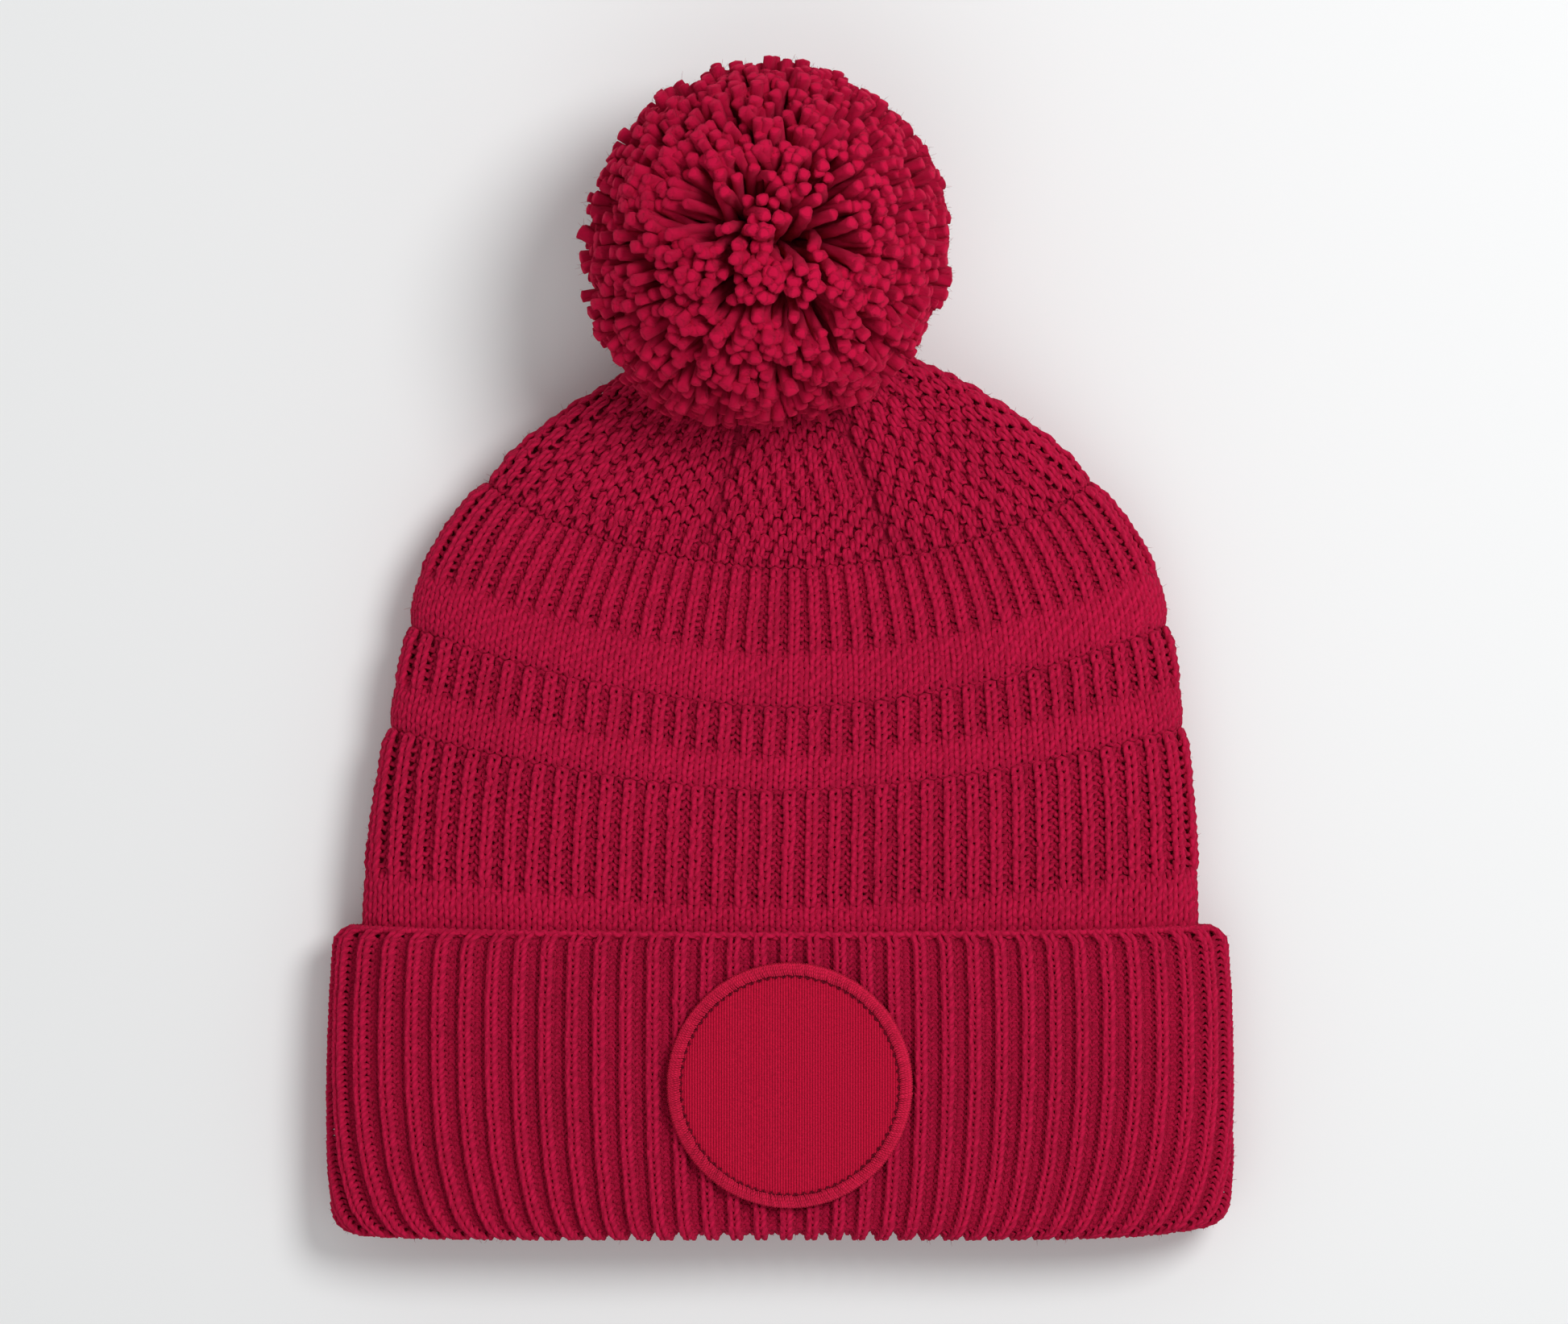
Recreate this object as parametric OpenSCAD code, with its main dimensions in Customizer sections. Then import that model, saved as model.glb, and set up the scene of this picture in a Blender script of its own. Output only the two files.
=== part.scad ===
// Pom pom beanie lying flat on its back: a knitted hat with a turned-up ribbed cuff,
// a round patch sewn to the cuff, and a yarn pom tied to the top of the crown.
// X runs across the hat, Y from the cuff up to the pom, and Z up from the surface it lies on.

/* [Cuff] */
// Width of the turned-up cuff, laid flat
cuff_w = 225.6; // [190:0.1:275]
// Height of the cuff, from the fold up to its free edge
cuff_h = 75.2; // [66:0.1:95]
// Thickness of the whole folded cuff, laid flat
cuff_t = 28; // [23:0.1:36]
// Thickness of the turned-up outer layer of ribbing
cuff_wall = 4.2; // [3:0.1:5.2]
// Thickness of the inner layer of ribbing
lining_wall = 3.4; // [2.6:0.1:4.2]
// Room at each side between the body and the turned-up layer
cuff_side_room = 4.3; // [2:0.1:6]
// Corner radius of the cuff at its fold, seen from the front
fold_corner_r = 8; // [4:0.1:12]
// Corner radius of the cuff at its free edge, seen from the front
edge_corner_r = 4; // [2:0.1:6]
// Radius of the fold, seen from the side
fold_r = 6; // [3:0.1:8]

/* [Body] */
// Length of the body between the cuff's free edge and the start of the crown curve
body_h = 78.3; // [55:0.1:110]
// How much the body narrows at each side on the way up to the crown
body_taper = 9.8; // [4:0.1:16]
// Thickness of the knitted fabric
knit_wall = 3.4; // [2.6:0.1:4.2]
// How much the body puffs out above the cuff, at the front and at the back
body_puff = 4; // [1:0.1:4.5]
// How squarely the flat-lying tube bends round its sides
side_squareness = 8; // [6:1:10]

/* [Crown] */
// Height of the crown curve
crown_h = 72; // [55:0.1:90]
// How far the top of the crown is lifted by the pom
crown_rise = 10; // [6:0.1:14]
// Radius of the gathered opening at the top
gather_r = 7; // [6:0.1:9]
// Radius of the yarn that gathers the top
gather_yarn_r = 1.7; // [1.2:0.1:2]
// Half angle between the two front darts, and between the two back darts
dart_angle = 15; // [10:1:25]
// Height of the seam allowance inside the darts and the back seam
seam_h = 2.4; // [1.5:0.1:3]
// Width of that seam allowance
seam_w = 1.8; // [1:0.1:2.2]

/* [Patch] */
// Diameter of the patch over its border
patch_d = 60.6; // [45:0.1:72]
// Sideways offset of the patch from the middle of the cuff
patch_x = 2.3; // [-8:0.1:8]
// How far the patch's centre lies above the middle of the cuff's height
patch_raise = 1.4; // [-1.5:0.1:1.5]
// Width of the merrowed border
border_w = 3.2; // [2:0.1:4]
// Height of the border above the patch's face
border_rise = 0.9; // [0.5:0.1:1.4]
// Thickness of the woven face
face_t = 0.8; // [0.5:0.1:1.2]
// Thickness of the stiffener under it
backing_t = 0.8; // [0.5:0.1:1.2]
// Number of stitches that hold the patch down
stitches = 72; // [48:4:80]

/* [Pom] */
// Diameter of the pom
pom_d = 89; // [72:0.1:108]
// How far the pom's centre lies beyond the tie's pivot
pom_reach = 18.2; // [14:0.1:24]
// Sideways lean of the pom
pom_side = -2.6; // [-6:0.1:6]
// Radius of the ring of yarn that binds the pom's middle
binding_r = 6; // [5:0.1:8]
// Radius of the tie yarn
tie_r = 1.4; // [1:0.1:1.6]
// Radius of the knot inside the crown
knot_r = 4; // [3:0.1:4.5]

/* [Motion] */
// Furthest that the pom lifts off the surface, in degrees
lift_max = 10; // [5:1:25]

/* [Hidden] */
$fn = 64;

layer_gap = 0.4;             // between layers of knitting that lie on each other
join_depth = 4;              // how far the body runs down behind the cuff's free edge
mid_z = cuff_t / 2;
body_hw = cuff_w / 2 - cuff_wall - cuff_side_room;
body_ht = mid_z - cuff_wall - layer_gap;
shoulder_hw = body_hw - body_taper;
shoulder_ht = body_ht + body_puff;

crown_round = 1.176;         // how quickly the crown climbs from the shoulder
crown_close = 1.31;          // how quickly it narrows towards the top
top_angle = acos(pow(gather_r / shoulder_hw, 1 / crown_close));
thin_close = ln(gather_r / shoulder_ht) / ln(cos(top_angle));
dart_start = 0.23;           // share of the crown angle where the darts begin
dart_end = 0.72;             // share of the crown angle where the seam allowance ends
knot_place = 0.66;           // share of the crown angle where the knot sits

top_y = crown_h * pow(sin(top_angle), crown_round);
gather_y = top_y + 1;        // the plane of the gathering yarn
tie_y = gather_y + 2;        // the tie's pivot, just outside it
total_l = cuff_h + body_h + tie_y + pom_reach + pom_d / 2;
fold_y = -total_l / 2;
edge_y = fold_y + cuff_h;
join_y = edge_y - join_depth;
shoulder_y = edge_y + body_h;

pivot = [0, shoulder_y + tie_y, mid_z + crown_rise * pow(sin(top_angle), 3)];
gather_centre = [0, shoulder_y + gather_y, pivot.z];
pom_centre = [pom_side, pivot.y + pom_reach, pom_d / 2];
shank = pom_centre - pivot;
room_tilt = 40 + lift_max;   // slope of the pom's cut-away underside over the crown
wrap_r = 2.2;                // the wrapped part of the tie, at the pivot
wrap_h = 3;                  // its height, on the axis that the pom swings about
wrap_gap = 0.6;

ring_steps = 72;             // points round the knitted tube
ring_step = 360 / ring_steps;
tilt_ratio = 0.001;          // step used to find the direction of the surface

function lerp(a, b, t) = a + (b - a) * t;

// The tube runs from 0 at the bottom of the body to 1 at the shoulder and 2 at the gathered top.
function crown_angle(s) = max(0, s - 1) * top_angle;
function tube_y(s) = s < 1
    ? lerp(join_y, shoulder_y, s)
    : shoulder_y + crown_h * pow(sin(crown_angle(s)), crown_round);
function tube_hw(s) = s < 1
    ? body_hw - body_taper * pow(max(0, s), 1.8)
    : shoulder_hw * pow(cos(crown_angle(s)), crown_close);
function tube_ht(s) = s < 1
    ? lerp(body_ht, shoulder_ht, sin(90 * min(1, max(0, s) * 1.6)))
    : shoulder_ht * pow(cos(crown_angle(s)), thin_close);
function tube_z(s) = mid_z + crown_rise * pow(sin(crown_angle(s)), 3);
function tube_power(s) = 2 + (side_squareness - 2) * cos(crown_angle(s));

// A point on the outside: a is 0 at the middle front, 90 at the right side, 180 at the middle back.
function side_sign(v) = v < 0 ? -1 : 1;
function skin_at(s, a) = [
    tube_hw(s) * sin(a),
    tube_y(s),
    tube_z(s) + tube_ht(s) * side_sign(cos(a)) * sqrt(max(0, 1 - pow(abs(sin(a)), tube_power(s))))];
function unit(v) = v / norm(v);
function outward(s, a) = unit(cross(
    skin_at(s, a + 0.5) - skin_at(s, a - 0.5),
    skin_at(s + tilt_ratio, a) - skin_at(s - tilt_ratio, a)));
function below(s, a, depth) = skin_at(s, a) - outward(s, a) * depth;

// One quarter turn of the list keeps every face turned the same way.
function quad(p, q, r, t) = [[p, q, r], [p, r, t]];

// A patch of the tube's wall, between two places along it and two angles round it.
module wall_patch(s0, s1, s_steps, a0, a1, a_steps) {
    cols = a_steps + 1;
    layer = (s_steps + 1) * cols;
    points = [for (depth = [0, knit_wall]) for (i = [0:s_steps]) for (j = [0:a_steps])
        below(lerp(s0, s1, i / s_steps), lerp(a0, a1, j / a_steps), depth)];
    faces = [
        for (i = [0:s_steps - 1]) for (j = [0:a_steps - 1])
            let (p = i * cols + j) each quad(p, p + cols, p + cols + 1, p + 1),
        for (i = [0:s_steps - 1]) for (j = [0:a_steps - 1])
            let (p = layer + i * cols + j) each quad(p, p + 1, p + cols + 1, p + cols),
        for (j = [0:a_steps - 1]) each quad(j, j + 1, layer + j + 1, layer + j),
        for (j = [0:a_steps - 1])
            let (p = s_steps * cols + j) each quad(p + 1, p, layer + p, layer + p + 1),
        for (i = [0:s_steps - 1])
            let (p = i * cols) each quad(p + cols, p, layer + p, layer + p + cols),
        for (i = [0:s_steps - 1])
            let (p = i * cols + a_steps) each quad(layer + p + cols, layer + p, p, p + cols)];
    polyhedron(points, faces);
}

// The same wall all the way round.
module wall_tube(s0, s1, s_steps) {
    n = ring_steps;
    layer = (s_steps + 1) * n;
    points = [for (depth = [0, knit_wall]) for (i = [0:s_steps]) for (j = [0:n - 1])
        below(lerp(s0, s1, i / s_steps), j * ring_step, depth)];
    faces = [
        for (i = [0:s_steps - 1]) for (j = [0:n - 1])
            let (p = i * n, k = (j + 1) % n) each quad(p + j, p + n + j, p + n + k, p + k),
        for (i = [0:s_steps - 1]) for (j = [0:n - 1])
            let (p = layer + i * n, k = (j + 1) % n) each quad(p + j, p + k, p + n + k, p + n + j),
        for (j = [0:n - 1]) let (k = (j + 1) % n) each quad(j, k, layer + k, layer + j),
        for (j = [0:n - 1])
            let (p = s_steps * n, k = (j + 1) % n) each quad(p + k, p + j, layer + p + j, layer + p + k)];
    polyhedron(points, faces);
}

// A seam allowance that stands inside the wall along one angle.
module seam_fin(s0, s1, steps, a) {
    gap = 0.5;
    points = [for (i = [0:steps])
        let (s = lerp(s0, s1, i / steps), n = outward(s, a),
             top = below(s, a, knit_wall + gap),
             run = unit(skin_at(s + tilt_ratio, a) - skin_at(s - tilt_ratio, a)),
             side = cross(run, n) * seam_w / 2)
        each [top - side, top + side, top + side - n * seam_h, top - side - n * seam_h]];
    faces = [
        [0, 1, 2, 3],
        for (i = [0:steps - 1]) for (j = [0:3])
            let (p = 4 * i + j, q = 4 * i + (j + 1) % 4) each quad(p, p + 4, q + 4, q),
        [for (j = [3:-1:0]) 4 * steps + j]];
    polyhedron(points, faces);
}

module crown_section(a0, a1) {
    color([0.62, 0.05, 0.19])
        wall_patch(1 + dart_start, 2, 9, a0, a1, max(4, round((a1 - a0) / 7.5)));
}

// A flat shape w wide, from 0 to h, with one radius at its low corners and one at its high corners.
module soft_corners(w, h, low_r, high_r) {
    translate([-w / 2 + low_r, 0]) square([w - 2 * low_r, h - high_r]);
    translate([-w / 2 + high_r, low_r]) square([w - 2 * high_r, h - low_r]);
    translate([-w / 2, low_r]) square([w, h - low_r - high_r]);
    for (side = [-1, 1]) {
        translate([side * (w / 2 - low_r), low_r]) circle(low_r);
        translate([side * (w / 2 - high_r), h - high_r]) circle(high_r);
    }
}

// A straight length of flat tube: flat front and back, round sides.
module flat_tube(hw, ht, y0, y1) {
    translate([0, y1, mid_z]) rotate([90, 0, 0]) linear_extrude(y1 - y0) {
        square([2 * (hw - ht), 2 * ht], center = true);
        for (side = [-1, 1]) translate([side * (hw - ht), 0]) circle(ht);
    }
}

module cuff_rib() {
    hw = cuff_w / 2;
    room_hw = hw - cuff_wall;
    room_ht = mid_z - cuff_wall;
    lining_hw = body_hw;
    turn = cuff_wall + lining_wall;
    color([0.58, 0.04, 0.17]) difference() {
        intersection() {
            flat_tube(hw, mid_z, fold_y, edge_y);
            translate([0, fold_y, 0]) linear_extrude(cuff_t)
                soft_corners(cuff_w, cuff_h, fold_corner_r, edge_corner_r);
            translate([-hw, fold_y, mid_z]) rotate([90, 0, 90]) linear_extrude(cuff_w)
                rotate(-90) soft_corners(cuff_t, cuff_h, fold_r, 1);
        }
        difference() {
            flat_tube(room_hw, room_ht, fold_y + turn, edge_y + 1);
            flat_tube(lining_hw, body_ht, fold_y, join_y);
        }
        flat_tube(lining_hw - lining_wall, body_ht - lining_wall, fold_y - 1, edge_y);
    }
}

module body_knit() {
    color([0.66, 0.06, 0.20]) wall_tube(0, 1 + dart_start, 12);
}

module crown_front() { crown_section(-dart_angle, dart_angle); }
module crown_front_right() { crown_section(dart_angle, 90); }
module crown_back_right() { crown_section(90, 180 - dart_angle); }
module crown_back() { crown_section(180 - dart_angle, 180 + dart_angle); }
module crown_back_left() { crown_section(180 + dart_angle, 270); }
module crown_front_left() { crown_section(270, 360 - dart_angle); }

module dart_seams() {
    color([0.45, 0.03, 0.13])
        for (a = [dart_angle, 90, 180 - dart_angle, 180 + dart_angle, 270, 360 - dart_angle])
            seam_fin(1 + dart_start, 1 + dart_end, 8, a);
}

module back_seam() {
    color([0.45, 0.03, 0.13]) seam_fin(0.02, 1.5, 14, 180);
}

module gather_yarn() {
    color([0.55, 0.03, 0.15]) translate(gather_centre) rotate([90, 0, 0])
        rotate_extrude() translate([gather_r - 0.2 - gather_yarn_r, 0]) circle(gather_yarn_r, $fn = 32);
}

patch_r = patch_d / 2;
patch_disc_r = patch_r - 0.9;                       // the face and backing stop inside the border
border_in_r = patch_r - border_w;
patch_face_z = cuff_t + backing_t + face_t;

module on_patch(z) {
    translate([patch_x, fold_y + cuff_h / 2 + patch_raise, z]) children();
}

module patch_backing() {
    color([0.35, 0.03, 0.10]) on_patch(cuff_t) cylinder(h = backing_t, r = patch_disc_r, $fn = 96);
}

module patch_face() {
    color([0.68, 0.06, 0.18])
        on_patch(cuff_t + backing_t) cylinder(h = face_t, r = patch_disc_r, $fn = 96);
}

// The thread wraps the edge of both discs and covers a band of the face.
module patch_border() {
    disc_t = backing_t + face_t;
    lip = border_rise / 2;
    color([0.75, 0.07, 0.22]) on_patch(cuff_t) rotate_extrude($fn = 96) {
        translate([patch_disc_r, 0]) square([patch_r - patch_disc_r, disc_t + lip]);
        translate([border_in_r + lip, disc_t]) square([border_w - lip * 2, border_rise]);
        translate([border_in_r, disc_t]) square([border_w, lip]);
        translate([border_in_r + lip, disc_t + lip]) circle(lip, $fn = 24);
        translate([patch_r - lip, disc_t + lip]) circle(lip, $fn = 24);
    }
}

module patch_stitching() {
    stitch = [1.6, 0.5, 0.35];
    color([0.40, 0.02, 0.10]) on_patch(patch_face_z) for (i = [0:stitches - 1])
        rotate(i * 360 / stitches)
            translate([border_in_r - stitch.x / 2 - 0.2, 0, stitch.z / 2])
                rotate(i % 2 == 0 ? 12 : -12) cube(stitch, center = true);
}

// Turns the Z axis to point along a line.
module along(line) {
    rotate([0, acos(line.z / norm(line)), atan2(line.y, line.x)]) children();
}

module binding_ring() {
    translate(pom_centre) rotate([0, 90, 0])
        rotate_extrude() translate([binding_r, 0]) circle(tie_r, $fn = 32);
}

module shank_run() {
    start = wrap_r + wrap_gap;
    translate(pivot) along(shank) translate([0, 0, start])
        cylinder(h = norm(shank) - binding_r - start, r = tie_r, $fn = 32);
}

// Room for the crown inside the pom's lower front, all the way up to its highest lift.
module crown_room() {
    near_r = gather_r + 7;
    reach = pom_d * 1.5;
    translate([-reach, 0, 0]) translate(pivot) rotate([90, 0, 90]) linear_extrude(2 * reach) {
        circle(near_r);
        polygon([[wrap_r + 2, -reach], [wrap_r + 2, 0], [0, 0],
            [-reach, reach * tan(room_tilt)], [-reach, -reach]]);
    }
}

module pom_yarn() {
    color([0.72, 0.05, 0.20]) difference() {
        translate(pom_centre) rotate([-room_tilt, 0, 0]) sphere(pom_d / 2, $fn = 96);
        crown_room();
        binding_ring();
        shank_run();
    }
}

module pom_binding() {
    color([0.50, 0.03, 0.14]) binding_ring();
}

module pom_shank() {
    color([0.50, 0.03, 0.14]) difference() {
        shank_run();
        binding_ring();
    }
}

knot_s = 1 + knot_place;
knot_at = [0, tube_y(knot_s), tube_z(knot_s)];
tail = knot_at - pivot;
tail_past = knot_r + 3;      // how far the cut tails stick out below the knot

module tie_neck() {
    color([0.52, 0.03, 0.15]) translate(pivot) {
        cylinder(h = wrap_h, r = wrap_r, center = true, $fn = 48);
        along(tail) cylinder(h = norm(tail) + tail_past, r = tie_r, $fn = 32);
    }
}

module tie_knot() {
    color([0.52, 0.03, 0.15]) translate(pivot) along(tail) difference() {
        translate([0, 0, norm(tail)]) sphere(knot_r, $fn = 48);
        cylinder(h = norm(tail) + tail_past + 1, r = tie_r, $fn = 32);
    }
}

body_knit();
crown_front();
crown_front_left();
crown_front_right();
crown_back();
crown_back_left();
crown_back_right();
dart_seams();
back_seam();
gather_yarn();
cuff_rib();
patch_backing();
patch_face();
patch_border();
patch_stitching();
pom_yarn();
pom_binding();
pom_shank();
tie_neck();
tie_knot();
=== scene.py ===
import math
import bpy
import numpy as np
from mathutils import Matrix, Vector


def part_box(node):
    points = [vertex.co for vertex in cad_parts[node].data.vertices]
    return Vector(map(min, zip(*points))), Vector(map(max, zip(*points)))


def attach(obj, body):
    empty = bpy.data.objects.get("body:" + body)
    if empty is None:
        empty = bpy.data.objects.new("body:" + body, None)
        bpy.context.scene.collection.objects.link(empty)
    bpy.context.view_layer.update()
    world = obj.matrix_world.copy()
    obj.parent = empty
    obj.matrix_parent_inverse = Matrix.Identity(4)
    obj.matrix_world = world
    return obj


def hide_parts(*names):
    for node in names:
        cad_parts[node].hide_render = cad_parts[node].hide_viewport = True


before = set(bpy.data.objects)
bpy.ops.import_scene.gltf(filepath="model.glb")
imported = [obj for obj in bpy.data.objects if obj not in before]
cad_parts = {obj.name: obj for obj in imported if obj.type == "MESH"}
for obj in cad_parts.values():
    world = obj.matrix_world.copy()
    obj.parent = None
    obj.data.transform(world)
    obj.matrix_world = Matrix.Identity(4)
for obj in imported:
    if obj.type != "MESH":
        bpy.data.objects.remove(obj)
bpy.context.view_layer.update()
rng = np.random.default_rng(7)
mm = 0.001


# The hat lies on its back: X across, Y from the cuff up to the pom, Z up through the front.
def boxOf(node):
    return tuple(np.array(corner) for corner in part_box(node))


cuffLow, cuffHigh = boxOf("cuff_rib")
bodyLow, bodyHigh = boxOf("body_knit")
pomLow, pomHigh = boxOf("pom_yarn")
borderLow, borderHigh = boxOf("patch_border")
gatherLow, gatherHigh = boxOf("gather_yarn")
midZ = (cuffLow[2] + cuffHigh[2]) / 2
upward = np.array([0.01, 0, 1.0])  # tipped a little, so that a thread along X or Y has a side


def unit(v):
    return v / np.maximum(np.linalg.norm(v, axis=-1, keepdims=True), 1e-12)


# Rises from 0 to 1 without a corner at either end.
def smooth(share):
    return share * share * (3 - 2 * share)


# Meshes
def meshFromQuads(name, points, quads, tris=None, uvs=None, depth=None):
    mesh = bpy.data.meshes.new(name)
    tris = np.zeros((0, 3), int) if tris is None else tris
    corners = np.concatenate([quads.ravel(), tris.ravel()]).astype(np.int32)
    mesh.vertices.add(len(points))
    mesh.vertices.foreach_set("co", np.ascontiguousarray(points, dtype=np.float32).ravel())
    mesh.loops.add(len(corners))
    mesh.loops.foreach_set("vertex_index", corners)
    sizes = np.concatenate([np.full(len(quads), 4), np.full(len(tris), 3)]).astype(np.int32)
    mesh.polygons.add(len(sizes))
    starts = np.concatenate([[0], np.cumsum(sizes)[:-1]]).astype(np.int32)
    mesh.polygons.foreach_set("loop_start", starts)
    mesh.polygons.foreach_set("loop_total", sizes)
    mesh.polygons.foreach_set("use_smooth", np.full(len(sizes), True))
    for uvName, uv in (uvs or {}).items():
        layer = mesh.uv_layers.new(name=uvName)
        layer.data.foreach_set("uv", np.ascontiguousarray(uv, dtype=np.float32).ravel())
    # the depth attribute is painted shade: the materials darken the colour by it
    if depth is not None:
        mesh.attributes.new("depth", "FLOAT", "POINT").data.foreach_set("value", depth.astype(np.float32))
    mesh.update(calc_edges=True)
    piece = bpy.data.objects.new(name, mesh)
    bpy.context.scene.collection.objects.link(piece)
    return piece


# The four corners of every face on a map, in the order of the face's points.
def faceCorners(start, end, left, right):
    corners = ((start, left), (start, right), (end, right), (end, left))
    return np.stack([np.stack(corner, -1) for corner in corners], 3).reshape(-1, 2)


# A group of tubes along (count, steps, 3) lines, kept together until they become one mesh.
class TubeSet:
    def __init__(self):
        self.points, self.quads, self.tris, self.yarnUv, self.bakeUv, self.capUv = [], [], [], [], [], []
        self.lines, self.facing, self.depth = [], [], []
        self.count = 0
        self.cells = 0

    # lobes are the plies seen across the yarn, and twist is how fast they wind along it
    def add(self, lines, facing, radius, sides, closed=False, lobes=0, twist=0.0, lobeDepth=0.0, flat=1.0,
            depth=0.0):
        count, steps, _ = lines.shape
        facing = np.broadcast_to(facing, lines.shape)
        self.lines.append(lines)
        self.facing.append(facing)
        if closed:
            run = np.roll(lines, -1, 1) - np.roll(lines, 1, 1)
        else:
            run = np.gradient(lines, axis=1)
        run = unit(run)
        side = unit(np.cross(run, facing))
        up = np.cross(side, run)
        radius = np.broadcast_to(np.asarray(radius, float), (count, steps))
        # depth is painted shade: the share by which the material darkens this yarn's colour
        depth = np.broadcast_to(np.asarray(depth, float), (count, steps))
        gone = np.cumsum(np.linalg.norm(np.diff(lines, axis=1), axis=2), 1)
        length = np.concatenate([np.zeros((count, 1)), gone], 1)
        angle = np.broadcast_to(np.arange(sides) * 2 * math.pi / sides, (count, steps, sides))
        reach = radius[..., None] * np.ones(sides)
        if lobes:
            reach = reach * (1 + lobeDepth * np.cos(lobes * (angle + twist * length[..., None])))
        ring = (lines[:, :, None] + side[:, :, None] * (reach * np.cos(angle))[..., None]
                + up[:, :, None] * (reach * np.sin(angle) * flat)[..., None])
        index = self.count + np.arange(count * steps * sides).reshape(count, steps, sides)
        nextRing = np.roll(index, -1, 1) if closed else index[:, 1:]
        thisRing = index if closed else index[:, :-1]
        quads = np.stack([thisRing, np.roll(thisRing, -1, 2), np.roll(nextRing, -1, 2), nextRing], -1)
        self.points.append(ring.reshape(-1, 3))
        self.depth.append(np.repeat(depth.ravel(), sides))
        self.quads.append(quads.reshape(-1, 4))
        self.count += count * steps * sides
        self.mapFaces(lines, length, quads.shape[1], sides)
        if not closed:
            for end, step in ((0, 0), (1, steps - 1)):
                self.closeEnd(lines, run, radius, depth, index, end, step)

    # One map follows the yarn, the other gives every face its own place for baking.
    def mapFaces(self, lines, length, spans, sides):
        count = len(lines)
        back = np.linalg.norm(lines[:, :1] - lines[:, -1:], axis=2)
        along = np.concatenate([length, length[:, -1:] + back], 1) * 100
        sideStart = np.broadcast_to(np.arange(sides) / sides, (count, spans, sides))
        sideEnd = sideStart + 1 / sides
        yarnStart = np.broadcast_to(along[:, :spans, None], sideStart.shape)
        yarnEnd = np.broadcast_to(along[:, 1:spans + 1, None], sideStart.shape)
        self.yarnUv.append(faceCorners(yarnStart, yarnEnd, sideStart, sideEnd))
        cellStart = np.broadcast_to((np.arange(spans) / spans)[None, :, None], sideStart.shape)
        row = np.broadcast_to((self.cells + np.arange(count))[:, None, None], sideStart.shape)
        self.bakeUv.append(faceCorners(cellStart, cellStart + 0.98 / spans, row + sideStart * 0.9,
                                       row + sideEnd * 0.9))
        self.cells += count

    # Each open end is a shallow cone, sunk at the start of a line and raised at its end.
    def closeEnd(self, lines, run, radius, depth, index, end, step):
        count, sides = len(lines), index.shape[2]
        tips = self.count + np.arange(count)
        self.points.append(lines[:, step] + run[:, step] * radius[:, step, None] * (0.25 if end else -0.25))
        self.depth.append(depth[:, step])
        self.count += count
        rim = index[:, step]
        fan = np.stack([rim, np.roll(rim, -1, 1), np.broadcast_to(tips[:, None], rim.shape)], -1)
        self.tris.append((fan if end else fan[..., ::-1]).reshape(-1, 3))
        spot = np.stack([np.full(count, end * 0.98), self.cells - count + np.arange(count) + 0.95], -1)
        spot = np.broadcast_to(spot[:, None, None], (count, sides, 3, 2))
        self.capUv.append((spot + np.array([[0, 0], [0.004, 0], [0.002, 0.03]])).reshape(-1, 2))

    def piece(self, name):
        tris = np.concatenate(self.tris) if self.tris else np.zeros((0, 3), int)
        bake = np.concatenate(self.bakeUv + self.capUv) / np.array([1.0, self.cells])
        yarn = np.concatenate(self.yarnUv + [uv * 0 for uv in self.capUv])
        return meshFromQuads(name, np.concatenate(self.points), np.concatenate(self.quads), tris,
                             {"OFBake": bake, "yarnRun": yarn}, np.concatenate(self.depth))


# Finishes
def newMaterial(name, roughness, specular):
    material = bpy.data.materials.new(name)
    material.use_nodes = True
    shader = material.node_tree.nodes["Principled BSDF"]
    shader.inputs["Roughness"].default_value = roughness
    shader.inputs["Specular IOR Level"].default_value = specular
    return material, material.node_tree, shader


# Adds a node; an input given as another node's output is linked, any other is set.
def addNode(tree, kind, inputs, **settings):
    node = tree.nodes.new(kind)
    for setting, value in settings.items():
        setattr(node, setting, value)
    for key, value in inputs.items():
        if isinstance(value, bpy.types.NodeSocket):
            tree.links.new(value, node.inputs[key])
        else:
            node.inputs[key].default_value = value
    return node


def combine(tree, operation, first, second=0.0):
    return addNode(tree, "ShaderNodeMath", {0: first, 1: second}, operation=operation).outputs[0]


def weighted(tree, first, firstShare, second, secondShare):
    return combine(tree, "ADD", combine(tree, "MULTIPLY", first, firstShare),
                   combine(tree, "MULTIPLY", second, secondShare))


def noise(tree, **inputs):
    return addNode(tree, "ShaderNodeTexNoise", inputs).outputs["Fac"]


def objectPlace(tree):
    return addNode(tree, "ShaderNodeTexCoord", {}).outputs["Object"]


def rampBetween(tree, shade, darkAt, dark, lightAt, light):
    ramp = addNode(tree, "ShaderNodeValToRGB", {"Fac": shade})
    for stop, position, colour in zip(ramp.color_ramp.elements, (darkAt, lightAt), (dark, light)):
        stop.position = position
        stop.color = colour + (1,)
    return ramp.outputs["Color"]


# Painted shade: the colour is darkened by the depth attribute, down to its deepShade share where the
# attribute is 1, deep in a groove; the relief becomes a bump.
def finishWith(tree, shader, colour, deepShade, height, bumpStrength):
    deep = addNode(tree, "ShaderNodeAttribute", {}, attribute_name="depth").outputs["Fac"]
    # painted shade: the colour is darkened in proportion to the depth attribute
    paintedShadeFactor = combine(tree, "SUBTRACT", 1.0, combine(tree, "MULTIPLY", deep, 1 - deepShade))
    paintedShadeColour = addNode(tree, "ShaderNodeVectorMath", {0: colour, "Scale": paintedShadeFactor}, operation="SCALE")
    tree.links.new(paintedShadeColour.outputs[0], shader.inputs["Base Color"])
    bump = addNode(tree, "ShaderNodeBump", {"Strength": bumpStrength, "Distance": 0.0005, "Height": height})
    tree.links.new(bump.outputs["Normal"], shader.inputs["Normal"])


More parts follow.
